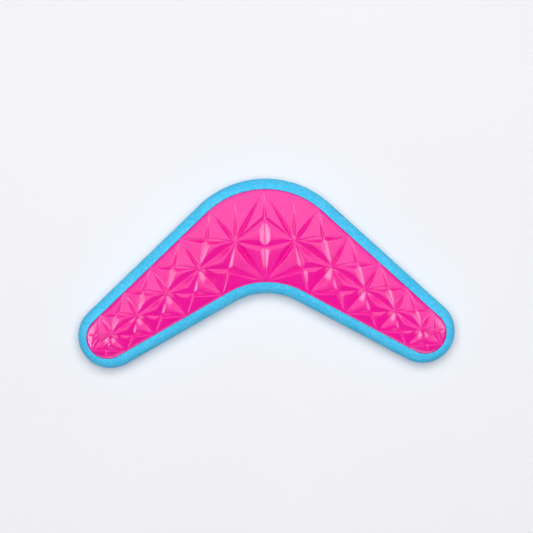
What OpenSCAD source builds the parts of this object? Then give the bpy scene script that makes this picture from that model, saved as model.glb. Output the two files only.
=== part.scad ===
// A two-tone boomerang throwing toy that lies flat, with its elbow towards +Y.
// A foamed body with a round rim carries one faceted panel in a pocket on each face.
// The origin is under the middle of the toy, on the surface it lies on.

/* [Outline] */
// Distance across the two tips
span = 260; // [250:1:270]
// Distance from the crown of the elbow to the line under the tips
reach = 129; // [126:1:132]
// Radius round the outside of the elbow
elbow_r = 66; // [62:0.5:68]
// Radius of each tip
tip_r = 22.2; // [21:0.1:24]
// Radius in the notch between the arms
notch_r = 44.4; // [40:0.2:48]
// Width of the elbow, from its crown to the notch
elbow_w = 79; // [77:0.5:82]

/* [Thickness] */
// Overall thickness over both panels
thick = 24; // [23:0.5:28]
// Radius of the round bead that makes the rim
bead_r = 8.5; // [8.2:0.1:9]
// Thickness of the web between the panels
web_t = 11; // [9:0.5:12]

/* [Panels] */
// Width of rim left showing round a panel
rim_w = 7.6; // [7:0.1:8]
// How much further a panel runs towards each tip than an even rim would let it
tip_reach = 1.6; // [0:0.1:2]
// Gap between the edge of a panel and the wall of its pocket
panel_gap = 0.25; // [0.15:0.05:0.4]
// Height of the edge of a panel above the bead
edge_rise = 0.3; // [0:0.1:1]
// Distance in from the edge over which a panel domes up to its full height
dome_w = 14; // [11:0.5:15]

/* [Stars] */
// Distance from the first star of an arm to the second
star_pitch = 30.8; // [29:0.1:31]
// How much shorter each following distance is
pitch_step = 2.8; // [2.5:0.1:3]
// Distance of the last star from the centre of the tip's radius
last_star = 3.1; // [2:0.1:5]
// Sideways place of the small stars, as a share of the distance between the stars
side_share = 0.4; // [0.36:0.01:0.42]
// How far the rim ends of the grooves lean towards the elbow
rim_lean = 1.7; // [0:0.1:3]
// Distance from a panel's crown to the first small star on its middle line
crown_1 = 20.5; // [19:0.5:22]
// Distance from that small star to the second
crown_2 = 19.4; // [18:0.2:21]
// Where the elbow's outermost groove reaches the edge, measured round from +X
elbow_end_1 = 50; // [49:0.5:52]
// Where the next groove does
elbow_end_2 = 70; // [68:0.5:72]
// How far beyond the last star the last small stars lie
tip_small_s = 8.7; // [8:0.1:9.5]
// How far to the sides of it they lie
tip_small_v = 6; // [5:0.1:7]
// Where the last side grooves reach the tip's edge, measured from the end of the arm
tip_end_angle = 45; // [40:1:50]

/* [Relief] */
// Depth of the dimple in a star
star_depth = 0.5; // [0.2:0.1:1]
// Depth of the pit in a small star
side_depth = 1.9; // [1:0.1:2.2]
// How far a groove between two stars dips in its middle
star_scoop = 1.6; // [0.4:0.1:1.8]
// How far a groove from a star to the notch side of the edge dips
rim_scoop = 1.8; // [0.4:0.1:2]
// How far a groove from a star to the outer side of the edge dips
upper_scoop = 1; // [0.4:0.1:1.4]
// Half the width of a star's dimple
star_half_w = 0.9; // [0.5:0.1:1.2]
// Half the width of the grooves at a small star
side_half_w = 4; // [3:0.1:4.4]
// The same towards the outer side of the edge
upper_half_w = 2.6; // [1.8:0.1:3]
// Half the width of a dip
scoop_half_w = 3.3; // [2:0.1:3.6]
// Half the width of a dip towards the outer side of the edge
upper_scoop_half_w = 1.2; // [0.8:0.1:1.8]
// Depth of the relief in the tips, as a share of its depth at the elbow
tip_size = 0.8; // [0.4:0.05:1]

/* [Studs] */
// Radius of the studs that hold the two panels together
stud_r = 4; // [3:0.1:4.5]
// Clearance round a stud in the web
web_clearance = 0.2; // [0.1:0.05:0.4]
// Clearance round a stud in its socket
socket_clearance = 0.05; // [0.05:0.05:0.2]
// Depth of a socket in a panel
socket_depth = 1.8; // [1.4:0.1:2]

/* [Hidden] */

foam_blue = [0.31, 0.72, 0.9];
panel_pink = [0.96, 0.18, 0.6];

$fn = 96;
ARC_STEPS = 6;       // pieces in each curved stretch of a panel's edge
BEAD_STEPS = 12;     // steps round the bead's half circle
ELBOW_STEPS = 12;    // steps in half of the elbow's arc,
TIP_STEPS = 20;      // in a tip's
NOTCH_STEPS = 7;     // and in half of the notch's
LAST = 4;            // number of the last star on an arm, counted from 0
RIM = 0;             // kinds of groove end: at the edge,
SIDE = 1;            // in a small star,
STAR = 2;            // and in a star
RIM_DIP = 0.3;       // where a groove to the edge dips deepest, as a share of its length from the star
end_depth = [0, side_depth, star_depth];
MOST_OF_FACET = 0.8; // a groove takes at most this share of the way to a facet's middle

// The outline is an elbow arc, two tip arcs and a notch arc with straight edges tangent to them.
elbow_y = reach / 2 - elbow_r;
notch_y = reach / 2 - elbow_w - notch_r;
tip_x = span / 2 - tip_r;
tip_y = tip_r - reach / 2;
stud_gaps = [0, 1, 3]; // the studs sit between these stars of an arm and the next ones

// A shape is [elbow radius, tip radius, notch radius, tip centre x, tip centre y].
body_shape = [elbow_r, tip_r, notch_r, tip_x, tip_y];
function slope_top(c) =
    atan2(elbow_y - c[4], c[3]) + asin((c[0] - c[1]) / norm([c[3], elbow_y - c[4]]));
function slope_low(c) =
    asin((c[1] + c[2]) / norm([c[3], c[4] - notch_y])) - atan2(c[4] - notch_y, c[3]);
arm_slope = (slope_top(body_shape) + slope_low(body_shape)) / 2;
function inset(d, push) = [
    elbow_r - d,
    tip_r - d,
    notch_r + d,
    tip_x + push * cos(arm_slope),
    tip_y - push * sin(arm_slope)
];
panel_shape = inset(rim_w, tip_reach);
pocket_shape = inset(rim_w - panel_gap, tip_reach);

// Heights are measured from the middle plane of the web.
crest_z = thick / 2;
edge_z = bead_r + edge_rise;
seat_z = web_t / 2;
stud_len = web_t + socket_depth;

function polar(r, a) = [r * cos(a), r * sin(a)];
function mirrored(p) = [-p[0], p[1]];
function lift(p, z) = [p[0], p[1], z];

// ---- Outline, with exact arcs ----

module outline(c) {
    top = slope_top(c);
    low = slope_low(c);
    tip = [c[3], c[4]];
    corners = [
        [0, elbow_y] + polar(c[0], 90 - top),
        tip + polar(c[1], 90 - top),
        tip - polar(c[1], 90 - low),
        [0, notch_y] + polar(c[2], 90 - low)
    ];
    difference() {
        union() {
            polygon(concat(corners, [for (i = [3:-1:0]) mirrored(corners[i])]));
            intersection() {
                translate([0, elbow_y]) circle(c[0]);
                translate([-c[0], corners[0][1]]) square([2 * c[0], c[0]]);
            }
            for (side = [-1, 1]) translate([side * tip[0], tip[1]]) circle(c[1]);
        }
        translate([0, notch_y]) circle(c[2]);
    }
}

// ---- Foam body ----

function arc_points(centre, r, from, to, steps) =
    [for (n = [0:steps]) centre + polar(r, from + (to - from) * n / steps)];
function half_path(c) =
    let (top = slope_top(c), low = slope_low(c))
        concat(
            arc_points([0, elbow_y], c[0], 90, 90 - top, ELBOW_STEPS),
            arc_points([c[3], c[4]], c[1], 90 - top, -90 - low, TIP_STEPS),
            arc_points([0, notch_y], c[2], 90 - low, 90, NOTCH_STEPS)
        );
function whole_path(c) =
    let (half = half_path(c))
        concat(half, [for (i = [len(half) - 2:-1:1]) mirrored(half[i])]);

// A solid slab whose edge is the round bead: rings of the outline, stepped round the bead
module slab() {
    turns = [for (n = [0:BEAD_STEPS]) 180 * n / BEAD_STEPS - 90];
    rings = [
        for (a = turns)
            [for (p = whole_path(inset(bead_r * (1 - cos(a)), 0))) lift(p, bead_r * sin(a))]
    ];
    count = len(rings[0]);
    polyhedron(
        points = [for (ring = rings) each ring],
        faces = concat(
            [[for (i = [count - 1:-1:0]) i]],
            [[for (i = [0:count - 1]) BEAD_STEPS * count + i]],
            [for (k = [0:BEAD_STEPS - 1], i = [0:count - 1])
                let (j = (i + 1) % count)
                    [k * count + i, k * count + j, (k + 1) * count + j, (k + 1) * count + i]]
        )
    );
}

module at_studs(side) {
    for (i = stud_gaps) {
        p = (star(i) + star(i + 1)) / 2;
        translate([side * p[0], p[1], 0]) children();
    }
}

module foam_body() {
    color(foam_blue)
        translate([0, 0, crest_z])
            difference() {
                slab();
                for (side = [0, 1]) mirror([0, 0, side])
                    translate([0, 0, seat_z])
                        linear_extrude(bead_r) outline(pocket_shape);
                for (side = [-1, 1]) at_studs(side)
                    translate([0, 0, -bead_r])
                        cylinder(r = stud_r + web_clearance, h = 2 * bead_r);
            }
}

// ---- Pattern of a panel, worked out for the arm on +X ----

panel_top = slope_top(panel_shape);
panel_low = slope_low(panel_shape);
panel_axis = (panel_top + panel_low) / 2;
taper = (panel_top - panel_low) / 2;
panel_tip = [panel_shape[3], panel_shape[4]];
arm_in = [-cos(panel_axis), sin(panel_axis)];
arm_up = [sin(panel_axis), cos(panel_axis)];

// Arm coordinates are s along the arm from the tip's centre inwards, and v up across it.
function from_arm(s, v) = panel_tip + s * arm_in + v * arm_up;
function to_arm(p) = [(p - panel_tip) * arm_in, (p - panel_tip) * arm_up];
function half_width(s) = panel_shape[1] / cos(taper) + s * tan(taper);

function pitch(i) = star_pitch - i * pitch_step;
function star_s(i) = i >= LAST ? last_star : star_s(i + 1) + pitch(i);
function star(i) = from_arm(star_s(i), 0);
function small_star(i, side) =
    from_arm((star_s(i) + star_s(i + 1)) / 2, side * side_share * pitch(i));
function rim_end(i, side) =
    let (s = star_s(i) + rim_lean) from_arm(s, side * half_width(s));

function in_tip(p) = let (a = to_arm(p)) a[0] < -norm(a) * sin(taper);
function in_elbow(p) = p[1] - elbow_y > norm(p - [0, elbow_y]) * cos(panel_top);
function in_notch(p) = p[1] - notch_y > norm(p - [0, notch_y]) * cos(panel_low);

// Distance of a point from the panel's edge
function line_gap(p, side) =
    let (a = to_arm(p)) (half_width(a[0]) - side * a[1]) * cos(taper);
function top_gap(p) =
    in_elbow(p) ? panel_shape[0] - norm(p - [0, elbow_y]) : line_gap(p, 1);
function low_gap(p) =
    in_notch(p) ? norm(p - [0, notch_y]) - panel_shape[2] : line_gap(p, -1);
function edge_gap(p) =
    in_tip(p) ? panel_shape[1] - norm(p - panel_tip) : min(top_gap(p), low_gap(p));

// A point near the edge, moved onto it
function out_from(p, centre, r) = centre + r * (p - centre) / norm(p - centre);
function on_line(p) =
    let (a = to_arm(p)) from_arm(a[0], sign(a[1]) * half_width(a[0]));
function on_edge(p) =
    in_tip(p) ? out_from(p, panel_tip, panel_shape[1])
    : to_arm(p)[1] > 0
        ? (in_elbow(p) ? out_from(p, [0, elbow_y], panel_shape[0]) : on_line(p))
        : (in_notch(p) ? out_from(p, [0, notch_y], panel_shape[2]) : on_line(p));

// Height of the domed surface that the facets follow between the grooves
function dome_z(p) =
    let (left = 1 - min(1, max(0, edge_gap(p)) / dome_w))
        edge_z + (crest_z - edge_z) * (1 - left * left);

// A groove end is [x, y, kind].
function end_xy(e) = [e[0], e[1]];
function groove_end(p, kind) = [p[0], p[1], kind];
upper = [
    groove_end([0, elbow_y] + polar(panel_shape[0], elbow_end_1), RIM),
    for (i = [1:LAST]) groove_end(rim_end(i, 1), RIM)
];
lower = [
    groove_end([0, notch_y + panel_shape[2]], RIM),
    for (i = [1:LAST]) groove_end(rim_end(i, -1), RIM)
];
crown = groove_end([0, elbow_y + panel_shape[0]], RIM);
crown_side = groove_end([0, elbow_y] + polar(panel_shape[0], elbow_end_2), RIM);
middle_1 = groove_end(end_xy(crown) - [0, crown_1], SIDE);
middle_2 = groove_end(end_xy(middle_1) - [0, crown_2], SIDE);
tip_end = groove_end(from_arm(-panel_shape[1], 0), RIM);
stars = [for (i = [0:LAST]) groove_end(star(i), STAR)];

// Each facet is three groove ends, and the ends on the edge come last.
function arm_facets(i, side, edge) =
    let (small = groove_end(small_star(i, side), SIDE)) [
        [stars[i], small, stars[i + 1]],
        [stars[i], small, edge[i]],
        [stars[i + 1], small, edge[i + 1]],
        [small, edge[i], edge[i + 1]]
    ];
function tip_facets(side, edge) =
    let (
        small = groove_end(from_arm(last_star - tip_small_s, side * tip_small_v), SIDE),
        turned = polar(panel_shape[1], tip_end_angle),
        corner = groove_end(from_arm(-turned[0], side * turned[1]), RIM)
    ) [
        [stars[LAST], small, edge[LAST]],
        [stars[LAST], small, tip_end],
        [small, edge[LAST], corner],
        [small, corner, tip_end]
    ];
elbow_facets = [
    [stars[0], upper[0], crown_side],
    [stars[0], crown_side, crown],
    [stars[0], middle_1, crown],
    [stars[0], middle_1, middle_2],
    [stars[0], middle_2, lower[0]]
];
facets = concat(
    [for (i = [0:LAST - 1]) each arm_facets(i, 1, upper)],
    [for (i = [0:LAST - 1]) each arm_facets(i, -1, lower)],
    tip_facets(1, upper),
    tip_facets(-1, lower),
    elbow_facets
);

// ---- Surface of a panel ----

function side_len(f, k) = norm(end_xy(f[(k + 1) % 3]) - end_xy(f[(k + 2) % 3]));
function turn(f) =
    let (a = end_xy(f[1]) - end_xy(f[0]), b = end_xy(f[2]) - end_xy(f[0])) a[0] * b[1] - a[1] * b[0];
function round_trip(f) = side_len(f, 0) + side_len(f, 1) + side_len(f, 2);
function facet_middle(f) =
    (side_len(f, 0) * end_xy(f[0]) + side_len(f, 1) * end_xy(f[1]) + side_len(f, 2) * end_xy(f[2]))
    / round_trip(f);

// Depth of the relief at a point, as a share of its depth at the elbow
function relief_size(p) =
    tip_size + (1 - tip_size) * min(1, max(0, to_arm(p)[0] / star_s(0)));
function base_z(e) = e[2] == RIM ? edge_z : dome_z(end_xy(e));
function depth(e) = relief_size(end_xy(e)) * end_depth[e[2]];
function pit(e) = lift(end_xy(e), base_z(e) - depth(e));

// A facet's flat is the plane through its three ends, before the grooves are cut.
function cross_2d(a, b) = a[0] * b[1] - a[1] * b[0];
function flat_z(f, p) =
    let (
        o = end_xy(f[0]),
        along_1 = cross_2d(p - o, end_xy(f[2]) - o) / turn(f),
        along_2 = cross_2d(end_xy(f[1]) - o, p - o) / turn(f)
    ) base_z(f[0]) + along_1 * (base_z(f[1]) - base_z(f[0])) + along_2 * (base_z(f[2]) - base_z(f[0]));

// Facets between the stars and the outer side of the edge have narrower grooves.
function at_rim(f) = f[1][2] == RIM && f[2][2] == RIM;
function is_upper(f) = f[2][2] == RIM && (at_rim(f) || to_arm(facet_middle(f))[1] > 0);
function half_w(f, kind) =
    kind == RIM ? 0 : kind == STAR ? star_half_w : is_upper(f) ? upper_half_w : side_half_w;

// A point of the flat, some way in from a point on the facet's side
function inner(f, p, w) =
    let (
        reach_in = abs(turn(f)) / round_trip(f),
        share = min(MOST_OF_FACET, relief_size(p) * w / reach_in),
        q = p + share * (facet_middle(f) - p)
    ) lift(q, flat_z(f, q));
function shoulder(f, k) = inner(f, end_xy(f[k]), half_w(f, f[k][2]));

// Grooves from a star to another or to the edge dip on the way: [share of the way, depth, half width].
function dip(f, a, b) =
    b[2] == STAR ? [0.5, star_scoop, scoop_half_w]
    : to_arm(end_xy(b))[1] > 0
        ? [RIM_DIP, upper_scoop, upper_scoop_half_w]
        : [RIM_DIP, rim_scoop, is_upper(f) ? upper_scoop_half_w : scoop_half_w];
function dips(a, b) = a[2] == STAR && b[2] != SIDE;
function dip_xy(f, a, b) = let (t = dip(f, a, b)[0]) (1 - t) * end_xy(a) + t * end_xy(b);
function dip_floor(f, a, b) =
    let (d = dip(f, a, b), p = dip_xy(f, a, b), t = d[0])
        lift(p, (1 - t) * (base_z(a) - depth(a)) + t * (base_z(b) - depth(b)) - relief_size(p) * d[1]);
function dip_crest(f, a, b) = inner(f, dip_xy(f, a, b), dip(f, a, b)[2]);

// The side of a facet from its end k to the next one, as its groove's floor and the flat's edge
function side_ends(f, k) = [f[k], f[(k + 1) % 3]];
function floor_line(f, k) =
    let (e = side_ends(f, k), a = e[0], b = e[1]) concat(
        [pit(a)],
        dips(a, b) ? [dip_floor(f, a, b)] : dips(b, a) ? [dip_floor(f, b, a)] : [],
        [pit(b)]
    );
function crest_line(f, k) =
    let (e = side_ends(f, k), a = e[0], b = e[1]) concat(
        [shoulder(f, k)],
        dips(a, b) ? [dip_crest(f, a, b)] : dips(b, a) ? [dip_crest(f, b, a)] : [],
        [shoulder(f, (k + 1) % 3)]
    );

function edge_stretch(a, b) = [
    for (n = [1:ARC_STEPS - 1])
        let (t = n / ARC_STEPS, p = on_edge((1 - t) * end_xy(a) + t * end_xy(b))) lift(p, edge_z)
];
function edge_line(f) = concat([pit(f[1])], edge_stretch(f[1], f[2]), [pit(f[2])]);
function without_flat(tris) = [for (t = tris) if (t[0] != t[1] && t[1] != t[2] && t[2] != t[0]) t];
function groove_wall(low, high) = without_flat([
    for (n = [0:len(low) - 2]) each [
        [low[n], low[n + 1], high[n]],
        [low[n + 1], high[n + 1], high[n]]
    ]
]);
function flat_side(f, line) =
    let (p = facet_middle(f), middle = lift(p, flat_z(f, p)))
        [for (n = [0:len(line) - 2]) [line[n], line[n + 1], middle]];
function side_surface(f, k) =
    k == 1 && at_rim(f)
        ? flat_side(f, edge_line(f))
        : concat(groove_wall(floor_line(f, k), crest_line(f, k)), flat_side(f, crest_line(f, k)));
// The wall of the panel's edge below a facet, down to its seat
function down(p) = lift(p, seat_z);
function edge_walls(f) =
    !at_rim(f) ? [] :
    let (path = edge_line(f))
        [for (n = [0:len(path) - 2]) each [
            [path[n + 1], path[n], down(path[n])],
            [path[n + 1], down(path[n]), down(path[n + 1])]
        ]];
function seat(tri) = [down(tri[0]), down(tri[2]), down(tri[1])];
function skin(f) =
    let (top = [for (k = [0:2]) each side_surface(f, k)])
        concat(top, edge_walls(f), [for (tri = top) seat(tri)]);
function reversed(tri) = [tri[2], tri[1], tri[0]];
function left_hand(tri) = [for (p = reversed(tri)) [-p[0], p[1], p[2]]];

module relief() {
    right = [for (f = facets) each turn(f) > 0 ? [for (tri = skin(f)) reversed(tri)] : skin(f)];
    all = concat(right, [for (tri = right) left_hand(tri)]);
    polyhedron(
        points = [for (tri = all) each tri],
        faces = [for (i = [0:len(all) - 1]) [3 * i, 3 * i + 1, 3 * i + 2]]
    );
}

// Both panels are the same moulding: studs on one arm and sockets on the other.
module panel() {
    color(panel_pink)
        difference() {
            union() {
                relief();
                at_studs(1) translate([0, 0, seat_z - stud_len])
                    cylinder(r = stud_r, h = stud_len + socket_depth);
            }
            at_studs(-1) translate([0, 0, seat_z - socket_depth])
                cylinder(r = stud_r + socket_clearance, h = 2 * socket_depth);
        }
}

module front_panel() {
    translate([0, 0, crest_z]) panel();
}

module back_panel() {
    translate([0, 0, crest_z]) rotate([0, 180, 0]) panel();
}

foam_body();
front_panel();
back_panel();
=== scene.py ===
"""Looks of the two-tone boomerang: a foamed rubber body and two glossy faceted panels."""

import math

import bmesh
import bpy
from mathutils import Matrix, Vector, noise


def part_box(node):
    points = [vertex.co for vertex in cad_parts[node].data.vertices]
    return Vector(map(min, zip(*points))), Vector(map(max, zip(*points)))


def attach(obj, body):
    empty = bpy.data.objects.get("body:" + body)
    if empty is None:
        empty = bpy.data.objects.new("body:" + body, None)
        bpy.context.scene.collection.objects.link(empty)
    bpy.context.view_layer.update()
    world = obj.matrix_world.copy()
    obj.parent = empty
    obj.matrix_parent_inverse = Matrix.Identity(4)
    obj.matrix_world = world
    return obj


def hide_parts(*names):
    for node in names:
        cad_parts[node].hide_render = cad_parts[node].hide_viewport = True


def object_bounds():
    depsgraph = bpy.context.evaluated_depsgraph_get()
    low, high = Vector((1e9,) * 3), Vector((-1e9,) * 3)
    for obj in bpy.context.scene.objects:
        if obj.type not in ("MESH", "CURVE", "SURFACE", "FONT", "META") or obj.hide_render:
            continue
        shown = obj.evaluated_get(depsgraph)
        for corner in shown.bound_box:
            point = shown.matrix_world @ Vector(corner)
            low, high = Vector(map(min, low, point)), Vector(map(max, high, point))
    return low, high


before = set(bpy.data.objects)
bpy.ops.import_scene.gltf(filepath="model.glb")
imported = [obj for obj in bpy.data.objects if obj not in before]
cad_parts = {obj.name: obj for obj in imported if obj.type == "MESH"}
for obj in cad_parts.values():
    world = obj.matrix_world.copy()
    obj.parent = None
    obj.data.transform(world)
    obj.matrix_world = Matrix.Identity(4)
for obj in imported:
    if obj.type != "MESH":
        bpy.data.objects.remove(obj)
cad_low, cad_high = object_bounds()

MM = 0.001
MIRROR = Matrix.Diagonal((-1, 1, 1, 1))
OVER = Matrix.Rotation(math.pi, 4, "Y")

# Sizes in millimetres and angles in degrees. What the frame can say is read from it, and the rest is
# the same as in the CAD model, except the gap at the panels' edge: it is drawn finer here.
body_low, body_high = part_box("foam_body")
_, front_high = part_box("front_panel")
SPAN = (body_high.x - body_low.x) / MM
REACH = (body_high.y - body_low.y) / MM
CREST_Z = (front_high.z - cad_low.z) / MM / 2    # heights are about the toy's middle plane
ELBOW_R = 66.0
TIP_R = 22.2
NOTCH_R = 44.4
ELBOW_W = 79.0
BEAD_R = 8.5
WEB_T = 11.0
RIM_W = 7.6
TIP_REACH = 1.6
PANEL_GAP = 0.12
EDGE_RISE = 0.3
DOME_W = 14.0
STAR_PITCH = 30.8
PITCH_STEP = 2.8
LAST_STAR = 3.1
SIDE_SHARE = 0.4
RIM_LEAN = 1.7
CROWN_1 = 20.5
CROWN_2 = 19.4
ELBOW_END_1 = 50
ELBOW_END_2 = 70
TIP_SMALL_S = 8.7
TIP_SMALL_V = 6.0
TIP_END_ANGLE = 45
STUD_R = 4.0
WEB_CLEARANCE = 0.2
SOCKET_CLEARANCE = 0.05
SOCKET_DEPTH = 1.8
STUD_CHAMFER = 0.5
STUD_GAPS = (0, 1, 3)    # studs stand halfway between these stars and the next
LAST = 4                 # number of the last star of an arm, counted from 0 at the elbow

EDGE_Z = BEAD_R + EDGE_RISE
SEAT_Z = WEB_T / 2
ELBOW = Vector((0, REACH / 2 - ELBOW_R))
NOTCH = Vector((0, REACH / 2 - ELBOW_W - NOTCH_R))
TIP = Vector((SPAN / 2 - TIP_R, TIP_R - REACH / 2))


def polar(r, degrees):
    a = math.radians(degrees)
    return Vector((r * math.cos(a), r * math.sin(a)))


class Outline:
    """The toy's outline moved in by `inset`, with its tips then pushed out along the arms by `push`.

    It is an elbow arc, two tip arcs and a notch arc, with straight edges tangent to them. Everything
    here is about its +X side. Along an arm, s runs from the tip's centre to the elbow and v across it.
    """

    def __init__(self, inset, push=0.0):
        self.elbow_r = ELBOW_R - inset
        self.tip_r = TIP_R - inset
        self.notch_r = NOTCH_R + inset
        self.tip = TIP.copy()
        self.set_slopes()
        if push:
            a = math.radians((self.top + self.low) / 2)
            self.tip += push * Vector((math.cos(a), -math.sin(a)))
            self.set_slopes()
        self.axis = math.radians((self.top + self.low) / 2)
        self.taper = math.radians((self.top - self.low) / 2)
        self.inward = Vector((-math.cos(self.axis), math.sin(self.axis)))
        self.upward = Vector((math.sin(self.axis), math.cos(self.axis)))

    def set_slopes(self):
        """Slopes of the upper and lower straight edges, in degrees."""
        down = self.tip - ELBOW
        lean = math.asin((self.elbow_r - self.tip_r) / down.length)
        self.top = math.degrees(math.atan2(-down.y, down.x) + lean)
        up = self.tip - NOTCH
        lean = math.asin((self.tip_r + self.notch_r) / up.length)
        self.low = math.degrees(lean - math.atan2(up.y, up.x))

    def from_arm(self, s, v):
        return self.tip + s * self.inward + v * self.upward

    def to_arm(self, p):
        d = p - self.tip
        return Vector((d.dot(self.inward), d.dot(self.upward)))

    def half_width(self, s):
        return self.tip_r / math.cos(self.taper) + s * math.tan(self.taper)

    def in_tip(self, p):
        a = self.to_arm(p)
        return a.x < -a.length * math.sin(self.taper)

    def in_elbow(self, p):
        d = p - ELBOW
        return d.y > d.length * math.cos(math.radians(self.top))

    def in_notch(self, p):
        d = p - NOTCH
        return d.y > d.length * math.cos(math.radians(self.low))

    def line_gap(self, p, side):
        a = self.to_arm(p)
        return (self.half_width(a.x) - side * a.y) * math.cos(self.taper)

    def gap(self, p):
        """Distance of a point from the outline, for a point inside it on the +X side."""
        if self.in_tip(p):
            return self.tip_r - (p - self.tip).length
        top = self.elbow_r - (p - ELBOW).length if self.in_elbow(p) else self.line_gap(p, 1)
        low = (p - NOTCH).length - self.notch_r if self.in_notch(p) else self.line_gap(p, -1)
        return min(top, low)

    def on_edge(self, p):
        """A point near the outline, moved onto it."""
        if self.in_tip(p):
            return self.tip + self.tip_r * (p - self.tip).normalized()
        a = self.to_arm(p)
        if a.y > 0:
            if self.in_elbow(p):
                return ELBOW + self.elbow_r * (p - ELBOW).normalized()
            return self.from_arm(a.x, self.half_width(a.x))
        if self.in_notch(p):
            return NOTCH + self.notch_r * (p - NOTCH).normalized()
        return self.from_arm(a.x, -self.half_width(a.x))

    def path(self, step):
        """Points and outward normals clockwise round the outline, about `step` apart on the toy's rim."""
        arcs = (
            (ELBOW, self.elbow_r, 90, 90 - self.top, 1, ELBOW_R),
            (self.tip, self.tip_r, 90 - self.top, -90 - self.low, 1, TIP_R),
            (NOTCH, self.notch_r, 90 - self.low, 90, -1, NOTCH_R),
        )
        half = []
        for centre, r, start, end, out, rim_r in arcs:
            count = max(2, round(math.radians(abs(end - start)) * rim_r / step))
            if half:
                half += straight(half[-1], centre + polar(r, start), step)
            for n in range(count + 1):
                a = start + (end - start) * n / count
                half.append((centre + polar(r, a), out * polar(1, a)))
        other = [(Vector((-p.x, p.y)), Vector((-n.x, n.y))) for p, n in half[-2:0:-1]]
        return half + other


def straight(last, end, step):
    """Points strictly between the last point and `end`, with the last one's normal."""
    start, normal = last
    count = max(1, round((end - start).length / step))
    return [(start.lerp(end, n / count), normal.copy()) for n in range(1, count)]


PANEL = Outline(RIM_W, TIP_REACH)
POCKET = Outline(RIM_W - PANEL_GAP, TIP_REACH)

# ---------------------------------------------------------------- pattern of a panel

RIM, SIDE, STAR = "rim", "side", "star"


class End:
    """A place where grooves end: a star, a small star, or a point on the panel's edge."""

    def __init__(self, p, kind):
        self.p = p
        self.kind = kind
        self.z = dome_z(p)
        self.size = relief_size(p)


def dome_z(p):
    """Height of the panel's dome at a point."""
    left = 1 - min(1.0, max(0.0, PANEL.gap(p)) / DOME_W)
    return EDGE_Z + (CREST_Z - EDGE_Z) * (1 - left * left)


def relief_size(p):
    """Depth of the relief at a point, as a share of its depth at the elbow."""
    along = min(1.0, max(0.0, PANEL.to_arm(p).x / star_s(0)))
    return TIP_SIZE + (1 - TIP_SIZE) * along


def pitch(i):
    return STAR_PITCH - i * PITCH_STEP


def star_s(i):
    """Distance of a star along the arm from the tip's centre."""
    return LAST_STAR + sum(pitch(k) for k in range(i, LAST))


def star(i):
    return PANEL.from_arm(star_s(i), 0)


def small_star(i, side):
    return PANEL.from_arm((star_s(i) + star_s(i + 1)) / 2, side * SIDE_SHARE * pitch(i))


def rim_end(i, side):
    s = star_s(i) + RIM_LEAN
    return PANEL.from_arm(s, side * PANEL.half_width(s))


def arm_facets(stars, edge, side):
    """The facets on one side of an arm's row of stars."""
    for i in range(LAST):
        small = End(small_star(i, side), SIDE)
        yield stars[i], small, stars[i + 1]
        yield stars[i], small, edge[i]
        yield stars[i + 1], small, edge[i + 1]
        yield small, edge[i], edge[i + 1]
    small = End(PANEL.from_arm(LAST_STAR - TIP_SMALL_S, side * TIP_SMALL_V), SIDE)
    turned = polar(PANEL.tip_r, TIP_END_ANGLE)
    corner = End(PANEL.from_arm(-turned.x, side * turned.y), RIM)
    tip_end = End(PANEL.from_arm(-PANEL.tip_r, 0), RIM)
    yield stars[LAST], small, edge[LAST]
    yield stars[LAST], small, tip_end
    yield small, edge[LAST], corner
    yield small, corner, tip_end


def all_facets():
    """Every facet on the +X side: three groove ends, with those on the edge last."""
    stars = [End(star(i), STAR) for i in range(LAST + 1)]
    upper = [End(ELBOW + polar(PANEL.elbow_r, ELBOW_END_1), RIM)]
    lower = [End(NOTCH + Vector((0, PANEL.notch_r)), RIM)]
    for i in range(1, LAST + 1):
        upper.append(End(rim_end(i, 1), RIM))
        lower.append(End(rim_end(i, -1), RIM))
    crown = End(ELBOW + Vector((0, PANEL.elbow_r)), RIM)
    crown_side = End(ELBOW + polar(PANEL.elbow_r, ELBOW_END_2), RIM)
    middle_1 = End(crown.p - Vector((0, CROWN_1)), SIDE)
    middle_2 = End(middle_1.p - Vector((0, CROWN_2)), SIDE)
    yield from arm_facets(stars, upper, 1)
    yield from arm_facets(stars, lower, -1)
    yield stars[0], upper[0], crown_side
    yield stars[0], crown_side, crown
    yield stars[0], middle_1, crown
    yield stars[0], middle_1, middle_2
    yield stars[0], middle_2, lower[0]


# ---------------------------------------------------------------- relief of a panel

STAR_DEPTH = 0.5    # depth of the dimple in a star
SIDE_DEPTH = 1.9    # depth of the pit in a small star
STAR_SCOOP = 1.6    # how far a groove between two stars dips in its middle
RIM_SCOOP = 1.8     # how far a groove from a star to the edge dips
UPPER_SCOOP = 1.0   # how far the ones to the outer edge of an arm do
RIM_STOP = 0.92     # a groove fades out at this share of its way to the edge
TIP_SIZE = 0.8      # depth of the relief in the tips, as a share of the elbow's
INNER, HIGH, UPPER, LOWER, NOTCH_SIDE = "inner", "high", "upper", "lower", "notch side"
STEEPNESS = {       # rise over run of the grooves' walls on each kind of facet
    INNER: {(STAR, SIDE): 0.45, (STAR, STAR): 0.5, (SIDE, SIDE): 0.48},
    HIGH: {(STAR, SIDE): 0.65, (STAR, STAR): 0.5},
    UPPER: {(STAR, SIDE): 0.7, (STAR, RIM): 1.0, (SIDE, RIM): 1.0},
    LOWER: {(STAR, SIDE): 0.45, (STAR, RIM): 0.46, (SIDE, RIM): 0.55},
    NOTCH_SIDE: {(STAR, SIDE): 0.48, (STAR, RIM): 1.0, (SIDE, RIM): 0.5},
}
VALLEY_R = 0.15     # softness of the bottom of a groove
CREST_R = 0.35      # softness of the edges of the flats,
CREST_SHARE = 0.6   # and the most it may be of the distance to the nearest groove
LIP_W = 2.4         # width of the rounding of the panel's outer edge
LIP_DROP = 0.55     # and how far it falls
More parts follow.
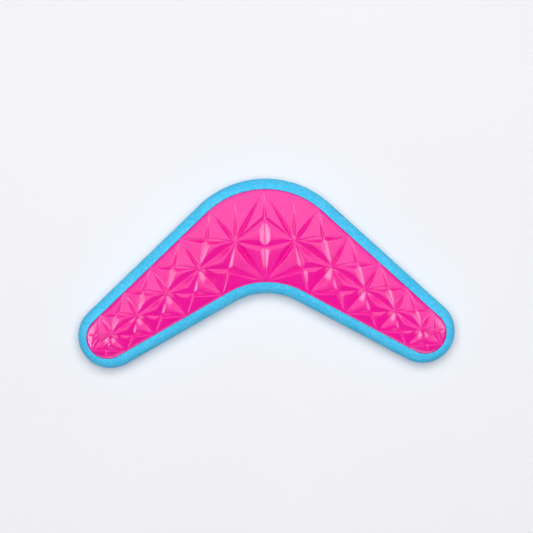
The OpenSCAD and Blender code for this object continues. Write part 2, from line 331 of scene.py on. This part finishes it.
WALL_ROWS = (0.05, 0.12, 0.25, 0.45, 0.65, 0.82, 0.93, 1)    # rows of points up a wall, as shares,
FLAT_ROWS = (0.02, 0.05, 0.12, 0.22, 0.45, 0.7, 1)           # and from its top to the facet's middle
COLUMNS = 18        # columns of points along a groove
HALVINGS = 12       # steps in the search for the top of a wall
THIN_WALL = 0.05    # walls narrower than this are left out
WIDEST_WALL = 0.9   # a wall takes up at most this share of the way to the facet's middle
WELD = 0.001        # points nearer than this are one
PEAK = 27 / 4       # makes the highest value of u (1 - u)^2 one


def ordered(a, b):
    """Two groove ends with the star first and the edge last."""
    rank = {STAR: 0, SIDE: 1, RIM: 2}
    return (a, b) if rank[a.kind] <= rank[b.kind] else (b, a)


class Groove:
    """The wall of a groove on one side of a facet."""

    def __init__(self, a, b, facet_middle, facet_kind):
        self.a, self.b = ordered(a, b)
        self.start = self.a.p
        run = self.b.p - self.a.p
        self.length = run.length
        self.run = run / self.length
        self.across = Vector((-self.run.y, self.run.x))
        if (facet_middle - self.start).dot(self.across) < 0:
            self.across = -self.across
        self.kinds = (self.a.kind, self.b.kind)
        self.slope = STEEPNESS[facet_kind][self.kinds]
        self.size = (self.a.size + self.b.size) / 2
        self.rim_scoop = UPPER_SCOOP if PANEL.to_arm(self.b.p).y > 0 else RIM_SCOOP

    def depth(self, t):
        """Depth of the groove's floor below the line between its ends."""
        first = self.a.size * (STAR_DEPTH if self.a.kind == STAR else SIDE_DEPTH)
        if self.b.kind == RIM:
            u = min(1.0, t / RIM_STOP)
            scoop = self.rim_scoop if self.a.kind == STAR else 0.0
            return first * (1 - u) + self.size * scoop * PEAK * u * (1 - u) ** 2
        last = self.b.size * (STAR_DEPTH if self.b.kind == STAR else SIDE_DEPTH)
        scoop = STAR_SCOOP if self.kinds == (STAR, STAR) else 0.0
        return first + (last - first) * t + self.size * scoop * 4 * t * (1 - t)

    def floor(self, p):
        """Height of the groove's floor next to a point."""
        t = min(1.0, max(0.0, (p - self.start).dot(self.run) / self.length))
        return self.a.z + (self.b.z - self.a.z) * t - self.depth(t)

    def height(self, p):
        """Height of the wall at a point, and the point's distance from the groove's floor line."""
        off = max(0.0, (p - self.start).dot(self.across))
        return self.floor(p) + self.slope * (math.hypot(off, VALLEY_R) - VALLEY_R), off


def lip(p):
    """How far the panel's rounded outer edge drops at a point."""
    gap = min(LIP_W, PANEL.gap(p))
    if gap < WELD:
        return LIP_DROP
    return LIP_DROP * (1 - math.sqrt(1 - (1 - gap / LIP_W) ** 2))


class Facet:
    """A triangle of the relief: a flat through its three ends, cut down along its sides by grooves."""

    def __init__(self, ends):
        self.ends = ends
        p = [e.p for e in ends]
        sides = [(p[(k + 1) % 3] - p[(k + 2) % 3]).length for k in range(3)]
        self.middle = (sides[0] * p[0] + sides[1] * p[1] + sides[2] * p[2]) / sum(sides)
        kind = self.find_kind()
        pairs = [(ends[k], ends[(k + 1) % 3]) for k in range(3)]
        self.sides = [
            None if a.kind == RIM and b.kind == RIM else Groove(a, b, self.middle, kind) for a, b in pairs
        ]
        self.grooves = [groove for groove in self.sides if groove]
        self.tilt = self.find_tilt()

    def find_tilt(self):
        """Rise of the facet's plane per millimetre along X and along Y."""
        first, second, third = self.ends
        u = second.p - first.p
        v = third.p - first.p
        rise_u = second.z - first.z
        rise_v = third.z - first.z
        area = u.x * v.y - u.y * v.x
        return Vector(((rise_u * v.y - rise_v * u.y) / area, (rise_v * u.x - rise_u * v.x) / area))

    def find_kind(self):
        """Which row of STEEPNESS holds for the facet."""
        kinds = [e.kind for e in self.ends]
        if RIM not in kinds:
            return HIGH if kinds.count(STAR) == 2 and PANEL.to_arm(self.middle).y > 0 else INNER
        if PANEL.to_arm(self.middle).y > 0 or kinds.count(RIM) == 2:
            return UPPER
        return NOTCH_SIDE if self.middle.x < star(0).x else LOWER

    def flat(self, p):
        """Height of the uncut facet at a point."""
        return self.ends[0].z + (p - self.ends[0].p).dot(self.tilt)

    def crest(self, low):
        """How far from a point on a side to the facet's middle the wall meets the flat, as a share."""
        below, above = 0.0, 1.0
        for _ in range(HALVINGS):
            share = (below + above) / 2
            p = low.lerp(self.middle, share)
            if min(g.height(p)[0] for g in self.grooves) < self.flat(p):
                below = share
            else:
                above = share
        return min(below, WIDEST_WALL) if below * (self.middle - low).length > THIN_WALL else 0.0

    def height(self, p):
        """Height of the facet at a point: the lowest of the flat and the walls, with soft crests."""
        walls = [g.height(p) for g in self.grooves]
        soft = min(CREST_R, CREST_SHARE * min(off for _, off in walls))
        z = self.flat(p)
        for h, _ in sorted(walls):
            z = (z + h - math.hypot(z - h, soft)) / 2
        return z - lip(p)

    def grids(self):
        """Rows of points over the three thirds of the facet, one between each side and the middle."""
        for j in range(3):
            a, b = self.ends[j], self.ends[(j + 1) % 3]
            groove = self.sides[j]
            columns = []
            for n in range(COLUMNS + 1):
                t = (1 - math.cos(math.pi * n / COLUMNS)) / 2
                low = a.p.lerp(b.p, t)
                if not groove:
                    low = PANEL.on_edge(low)
                in_rim_end = (n == 0 and a.kind == RIM) or (n == COLUMNS and b.kind == RIM)
                crest = self.crest(low) if groove and not in_rim_end else 0.0
                columns.append(self.column(groove, low, crest))
            yield columns

    def column(self, groove, low, crest):
        """Points from a side of the facet to its middle, closer together up the wall."""
        z = groove.floor(low) if groove else self.flat(low)
        points = [(low.x, low.y, z - lip(low))]
        shares = [crest * r for r in WALL_ROWS]
        shares += [crest + (1 - crest) * r for r in FLAT_ROWS]
        for share in shares:
            p = low.lerp(self.middle, share)
            points.append((p.x, p.y, self.height(p)))
        return points


def add_grid(bm, columns):
    """Faces of one grid, facing up. Faces that have shrunk to nothing go when the points are welded."""
    verts = [[bm.verts.new(p) for p in column] for column in columns]
    a, b, c = (Vector(columns[n][m]) for n, m in ((0, 0), (-1, 0), (0, -1)))
    up = (b - a).cross(c - a).z > 0
    for left, right in zip(verts, verts[1:]):
        for n in range(len(left) - 1):
            face = (left[n], right[n], right[n + 1], left[n + 1])
            bm.faces.new(face if up else face[::-1])


def mirror_half(bm):
    """Adds the -X half of a mesh that has only its +X half."""
    made = bmesh.ops.duplicate(bm, geom=bm.verts[:] + bm.edges[:] + bm.faces[:])["geom"]
    verts = [g for g in made if isinstance(g, bmesh.types.BMVert)]
    faces = [g for g in made if isinstance(g, bmesh.types.BMFace)]
    bmesh.ops.transform(bm, matrix=MIRROR, verts=verts)
    bmesh.ops.reverse_faces(bm, faces=faces)


HOLE_SIDES = 40


def circle_loop(bm, centre, r, z):
    """A closed loop of edges round a stud or a hole."""
    verts = []
    for n in range(HOLE_SIDES):
        p = centre + polar(r, 360 * n / HOLE_SIDES)
        verts.append(bm.verts.new((p.x, p.y, z)))
    return [bm.edges.new((verts[n], verts[(n + 1) % HOLE_SIDES])) for n in range(HOLE_SIDES)]


def sink(bm, edges, z, scale=1.0):
    """Extrudes a closed loop of edges to a height and returns the new loop."""
    made = bmesh.ops.extrude_edge_only(bm, edges=edges)["geom"]
    verts = [g for g in made if isinstance(g, bmesh.types.BMVert)]
    middle = sum((v.co for v in verts), Vector()) / len(verts)
    for v in verts:
        v.co = middle + (v.co - middle) * scale
        v.co.z = z
    return [g for g in made if isinstance(g, bmesh.types.BMEdge)]


def cap(bm, edges):
    """Fills the level area between closed loops."""
    bmesh.ops.triangle_fill(bm, edges=edges, use_beauty=True, use_dissolve=False)


def stud_places(side):
    """Where the studs or sockets are, on the +X arm (side 1) or the other (-1)."""
    for i in STUD_GAPS:
        p = (star(i) + star(i + 1)) / 2
        yield Vector((side * p.x, p.y))


def add_studs_and_sockets(bm, rim):
    """Closes the panel's hidden face with its studs on the +X arm and its sockets on the other."""
    studs = [circle_loop(bm, p, STUD_R, SEAT_Z) for p in stud_places(1)]
    sockets = [circle_loop(bm, p, STUD_R + SOCKET_CLEARANCE, SEAT_Z) for p in stud_places(-1)]
    cap(bm, rim + sum(studs + sockets, []))
    end = -SEAT_Z - SOCKET_DEPTH
    for loop in studs:
        loop = sink(bm, loop, end + STUD_CHAMFER)
        cap(bm, sink(bm, loop, end, 1 - STUD_CHAMFER / STUD_R))
    for loop in sockets:
        cap(bm, sink(bm, loop, SEAT_Z + SOCKET_DEPTH))


def finished(bm, name):
    """A mesh from a closed shell, with its faces turned outwards."""
    bmesh.ops.recalc_face_normals(bm, faces=bm.faces)
    mesh = bpy.data.meshes.new(name)
    bm.to_mesh(mesh)
    bm.free()
    return mesh


def panel_mesh():
    bm = bmesh.new()
    for ends in all_facets():
        for columns in Facet(ends).grids():
            add_grid(bm, columns)
    mirror_half(bm)
    bmesh.ops.remove_doubles(bm, verts=bm.verts, dist=WELD)
    rim = [e for e in bm.edges if len(e.link_faces) == 1]
    add_studs_and_sockets(bm, sink(bm, rim, SEAT_Z))
    return finished(bm, "panel")


def place(mesh, name, turn=None):
    """An object in the frame from a mesh in millimetres about the toy's middle plane."""
    if turn:
        mesh.transform(turn)
    mesh.transform(Matrix.Translation((0, 0, CREST_Z)))
    mesh.transform(Matrix.Scale(MM, 4))
    piece = bpy.data.objects.new(name, mesh)
    bpy.context.scene.collection.objects.link(piece)
    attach(piece, "root")
    return piece


CRISP = 50


def smooth(mesh):
    """Smooth shading, with the edges that turn by more than CRISP degrees left sharp."""
    mesh.shade_smooth()
    mesh.set_sharp_from_angle(angle=math.radians(CRISP))


# ---------------------------------------------------------------- foam body

RIM_STEP = 1.2          # distance between the points round the rim
LIP_STEPS = 4
BODY_LIP_R = 0.35       # rounding of the bead's edge at the pocket
BEAD_ROWS = 26
WAVE = 0.06             # how uneven the foam's surface is,
WAVE_SCALE = 0.09       # how many waves it has per millimetre,
WAVE_SHARE = 0.7        # how much of each wave is drawn,
WAVE_FADE = 2.0         # and how far from the pocket it begins
WALL = RIM_W - PANEL_GAP


def bead_profile():
    """Inset and height of the body's edge, from the pocket's wall over the bead to the middle plane."""
    lip_start = WALL - BODY_LIP_R
    crest = math.sqrt(BEAD_R**2 - (BEAD_R - lip_start) ** 2)
    rows = []
    for n in range(LIP_STEPS + 1):
        a = math.pi / 2 * n / LIP_STEPS
        drop = BODY_LIP_R * (1 - math.sin(a))
        rows.append((lip_start + BODY_LIP_R * math.cos(a), crest - drop))
    first = math.acos((BEAD_R - lip_start) / BEAD_R)
    for n in range(1, BEAD_ROWS + 1):
        a = first * (1 - n / BEAD_ROWS)
        rows.append((BEAD_R * (1 - math.cos(a)), BEAD_R * math.sin(a)))
    return rows


def wavy(p, normal, inset):
    """A point of the bead, moved a little by the foam's unevenness and kept inside the CAD body's box."""
    give = WAVE * noise.noise(p * WAVE_SCALE) * min(1, (WALL - inset) / WAVE_FADE)
    p = p + give * WAVE_SHARE * Vector((normal.x, normal.y, 0))
    p.x = min(max(p.x, body_low.x / MM), body_high.x / MM)
    p.y = min(max(p.y, body_low.y / MM), body_high.y / MM)
    return p


def bead_rings(bm):
    """Rings of points over the bead, from one pocket's wall to the other's, all round the outline."""
    upper = bead_profile()
    profile = upper + [(inset, -z) for inset, z in upper[-2::-1]]
    rings = []
    for (p_in, _), (p_out, normal) in zip(POCKET.path(RIM_STEP), Outline(0).path(RIM_STEP)):
        ring = []
        for inset, z in profile:
            p = p_out.lerp(p_in, inset / WALL)
            ring.append(bm.verts.new(wavy(Vector((p.x, p.y, z)), normal, inset)))
        rings.append(ring)
    return rings


def add_web_face(bm, rings, side):
    """One pocket's wall and its floor, and the loops of edges round the floor's holes."""
    n = 0 if side > 0 else -1
    loop = [bm.edges.get((a[n], b[n])) for a, b in zip(rings, rings[1:] + rings[:1])]
    z = side * SEAT_Z
    floor = sink(bm, loop, z)
    places = [p for arm in (1, -1) for p in stud_places(arm)]
    circles = [circle_loop(bm, p, STUD_R + WEB_CLEARANCE, z) for p in places]
    cap(bm, floor + sum(circles, []))
    return circles


def body_mesh():
    bm = bmesh.new()
    rings = bead_rings(bm)
    for left, right in zip(rings, rings[1:] + rings[:1]):
        for n in range(len(left) - 1):
            bm.faces.new((left[n], left[n + 1], right[n + 1], right[n]))
    for top, bottom in zip(add_web_face(bm, rings, 1), add_web_face(bm, rings, -1)):
        bmesh.ops.bridge_loops(bm, edges=top + bottom)
    return finished(bm, "foam_body_fine")


# ---------------------------------------------------------------- materials

# Scales are per metre, and the distances of bumps are in metres.
MIX_INPUTS = (0, 6, 7)    # a colour Mix node's factor, first and second colour,
MIX_OUTPUT = 2            # and its result: its sockets share their names with those of other types


class Nodes:
    """A short way to write a node tree."""

    def __init__(self, name):
        self.material = bpy.data.materials.new(name)
        self.material.use_nodes = True
        self.tree = self.material.node_tree
        self.tree.nodes.clear()
        self.out = self.tree.nodes.new("ShaderNodeOutputMaterial")
        self.shader = self.add("ShaderNodeBsdfPrincipled")
        self.link(self.shader, "BSDF", self.out, "Surface")
        self.coords = self.add("ShaderNodeTexCoord")

    def add(self, kind, **inputs):
        node = self.tree.nodes.new(kind)
        for name, value in inputs.items():
            node.inputs[name.replace("_", " ")].default_value = value
        return node

    def link(self, a, out, b, into):
        self.tree.links.new(a.outputs[out], b.inputs[into])

    def noise(self, scale, detail, roughness):
        node = self.add("ShaderNodeTexNoise", Scale=scale, Detail=detail, Roughness=roughness)
        self.link(self.coords, "Object", node, "Vector")
        return node

    def cells(self, scale):
        node = self.add("ShaderNodeTexVoronoi", Scale=scale)
        self.link(self.coords, "Object", node, "Vector")
        return node

    def ramp(self, source, out, stops):
        """Colours or grey values along a source value."""
        node = self.tree.nodes.new("ShaderNodeValToRGB")
        elements = node.color_ramp.elements
        while len(elements) < len(stops):
            elements.new(0.5)
        for element, (at, value) in zip(elements, stops):
            element.position = at
            element.color = value if isinstance(value, tuple) else (value, value, value, 1)
        self.link(source, out, node, "Fac")
        return node

    def blend(self, first, second, share):
        """Mixes two colour ramps and gives the socket of the result."""
        node = self.tree.nodes.new("ShaderNodeMix")
        node.data_type = "RGBA"
        factor, one, two = (node.inputs[k] for k in MIX_INPUTS)
        factor.default_value = share
        self.tree.links.new(first.outputs["Color"], one)
        self.tree.links.new(second.outputs["Color"], two)
        return node.outputs[MIX_OUTPUT]

    def bump(self, source, out, strength, distance, below=None):
        node = self.add("ShaderNodeBump", Strength=strength, Distance=distance)
        self.link(source, out, node, "Height")
        if below:
            self.link(below, "Normal", node, "Normal")
        return node


def srgb(r, g, b):
    """A colour given as 0 to 255 screen values, as linear light."""
    linear = []
    for c in (r / 255, g / 255, b / 255):
        linear.append(c / 12.92 if c <= 0.04045 else ((c + 0.055) / 1.055) ** 2.4)
    return (*linear, 1.0)


def foam_material():
    """Foamed rubber skin: matte, finely mottled, with tiny closed cells."""
    n = Nodes("foam_blue")
    blotch = n.noise(scale=55, detail=4, roughness=0.6)
    speck = n.noise(scale=500, detail=3, roughness=0.65)
    cells = n.cells(scale=950)
    base = n.ramp(blotch, "Fac", ((0.3, srgb(54, 190, 242)), (0.7, srgb(84, 208, 254))))
    fine = n.ramp(speck, "Fac", ((0.35, srgb(38, 176, 234)), (0.65, srgb(108, 222, 255))))
    n.tree.links.new(n.blend(base, fine, share=0.45), n.shader.inputs["Base Color"])
    rough = n.ramp(speck, "Fac", ((0.3, 0.55), (0.7, 0.75)))
    n.link(rough, "Color", n.shader, "Roughness")
    pits = n.bump(cells, "Distance", strength=0.35, distance=0.0002)
    grain = n.bump(speck, "Fac", strength=0.4, distance=0.00025, below=pits)
    n.link(grain, "Normal", n.shader, "Normal")
    n.shader.inputs["Specular IOR Level"].default_value = 0.12
    n.shader.inputs["Subsurface Weight"].default_value = 0.1
    n.shader.inputs["Subsurface Radius"].default_value = (0.3, 0.6, 1.0)
    n.shader.inputs["Subsurface Scale"].default_value = 0.002
    return n.material


def panel_material():
    """Glossy moulded rubber: saturated pink, with a faint moulded grain and soft highlights."""
    n = Nodes("panel_pink")
    cloud = n.noise(scale=30, detail=3, roughness=0.5)
    grain = n.noise(scale=900, detail=2, roughness=0.5)
    flow = n.noise(scale=140, detail=3, roughness=0.55)
    base = n.ramp(cloud, "Fac", ((0.3, srgb(241, 3, 151)), (0.7, srgb(245, 8, 157))))
    n.link(base, "Color", n.shader, "Base Color")
    rough = n.ramp(flow, "Fac", ((0.3, 0.17), (0.7, 0.25)))
    n.link(rough, "Color", n.shader, "Roughness")
    soft = n.bump(flow, "Fac", strength=0.1, distance=0.0003)
    fine = n.bump(grain, "Fac", strength=0.03, distance=0.0001, below=soft)
    n.link(fine, "Normal", n.shader, "Normal")
    n.shader.inputs["Specular IOR Level"].default_value = 0.5
    n.shader.inputs["Coat Weight"].default_value = 0.15
    n.shader.inputs["Coat Roughness"].default_value = 0.12
    return n.material


def floor_material():
    """A plain pale backdrop."""
    n = Nodes("backdrop_white")
    tone = n.noise(scale=6, detail=2, roughness=0.5)
    base = n.ramp(tone, "Fac", ((0.3, srgb(239, 238, 241)), (0.7, srgb(241, 240, 243))))
    n.link(base, "Color", n.shader, "Base Color")
    n.shader.inputs["Roughness"].default_value = 0.9
    return n.material


# ---------------------------------------------------------------- the toy


def make_panels():
    """The front panel, and the same one turned over for the back."""
    pink = panel_material()
    front = panel_mesh()
    back = front.copy()
    for mesh, name, node, turn in (
        (front, "front_panel_fine", "front_panel", None),
        (back, "back_panel_fine", "back_panel", OVER),
    ):
        piece = place(mesh, name, turn)
        smooth(mesh)
        mesh.materials.append(pink)
        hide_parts(node)


def make_body():
    mesh = body_mesh()
    piece = place(mesh, "foam_body_fine")
    smooth(mesh)
    mesh.materials.append(foam_material())
    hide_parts("foam_body")


# ---------------------------------------------------------------- studio

# Metres, watts and degrees, with the camera's sensor in millimetres.
CAMERA_HEIGHT = 1.5
VIEW_WIDTH = 0.3711    # width of the view on the floor
SENSOR = 36.0
AIM = (0.0008, 0.0038)
ROLL = -0.94
LIGHT_DISTANCE = 2.0
AMBIENT = 0.12
OVERHEAD = (90, 82, (1.6, 1.6), 43.5)    # azimuth, elevation, size and power of the only light that
CARDS = {                                # falls on the scene, and of those seen only as highlights
    "card_back": (90, 61, (2.4, 2.0), 22),
    "card_right": (9, 40, (1.2, 0.8), 17),
    "card_left": (177, 40, (1.5, 0.8), 29),
    "card_front": (270, 24, (2.4, 0.8), 20),
}
FLOOR_HALF = 6
FLOOR_SQUARES = 8


def make_camera():
    data = bpy.data.cameras.new("camera")
    data.sensor_width = SENSOR
    data.lens = SENSOR * CAMERA_HEIGHT / VIEW_WIDTH
    camera = bpy.data.objects.new("camera", data)
    camera.location = (*AIM, CAMERA_HEIGHT)
    camera.rotation_euler = (0, 0, math.radians(ROLL))
    bpy.context.scene.collection.objects.link(camera)
    bpy.context.scene.camera = camera


def make_light(name, azimuth, elevation, size, power):
    """A soft box aimed at the toy from a direction given in degrees."""
    data = bpy.data.lights.new(name, "AREA")
    data.shape = "RECTANGLE"
    data.size, data.size_y = size
    data.energy = power
    light = bpy.data.objects.new(name, data)
    level = LIGHT_DISTANCE * polar(math.cos(math.radians(elevation)), azimuth)
    light.location = (level.x, level.y, LIGHT_DISTANCE * math.sin(math.radians(elevation)))
    light.rotation_euler = (-light.location).to_track_quat("-Z", "Y").to_euler()
    bpy.context.scene.collection.objects.link(light)
    return light


def make_world():
    world = bpy.data.worlds.new("studio")
    world.use_nodes = True
    background = world.node_tree.nodes["Background"]
    background.inputs["Color"].default_value = (1, 1, 1, 1)
    background.inputs["Strength"].default_value = AMBIENT
    bpy.context.scene.world = world


def make_lights():
    overhead = make_light("overhead", *OVERHEAD)
    overhead.visible_glossy = False
    for name, settings in CARDS.items():
        card = make_light(name, *settings)
        card.visible_diffuse = False


def make_floor():
    mesh = bpy.data.meshes.new("floor")
    bm = bmesh.new()
    bmesh.ops.create_grid(bm, x_segments=FLOOR_SQUARES, y_segments=FLOOR_SQUARES, size=FLOOR_HALF)
    bm.to_mesh(mesh)
    bm.free()
    mesh.materials.append(floor_material())
    floor = bpy.data.objects.new("floor", mesh)
    floor.location.z = cad_low.z
    bpy.context.scene.collection.objects.link(floor)


make_body()
make_panels()
bpy.context.scene.view_settings.view_transform = "Standard"
make_camera()
make_world()
make_lights()
make_floor()
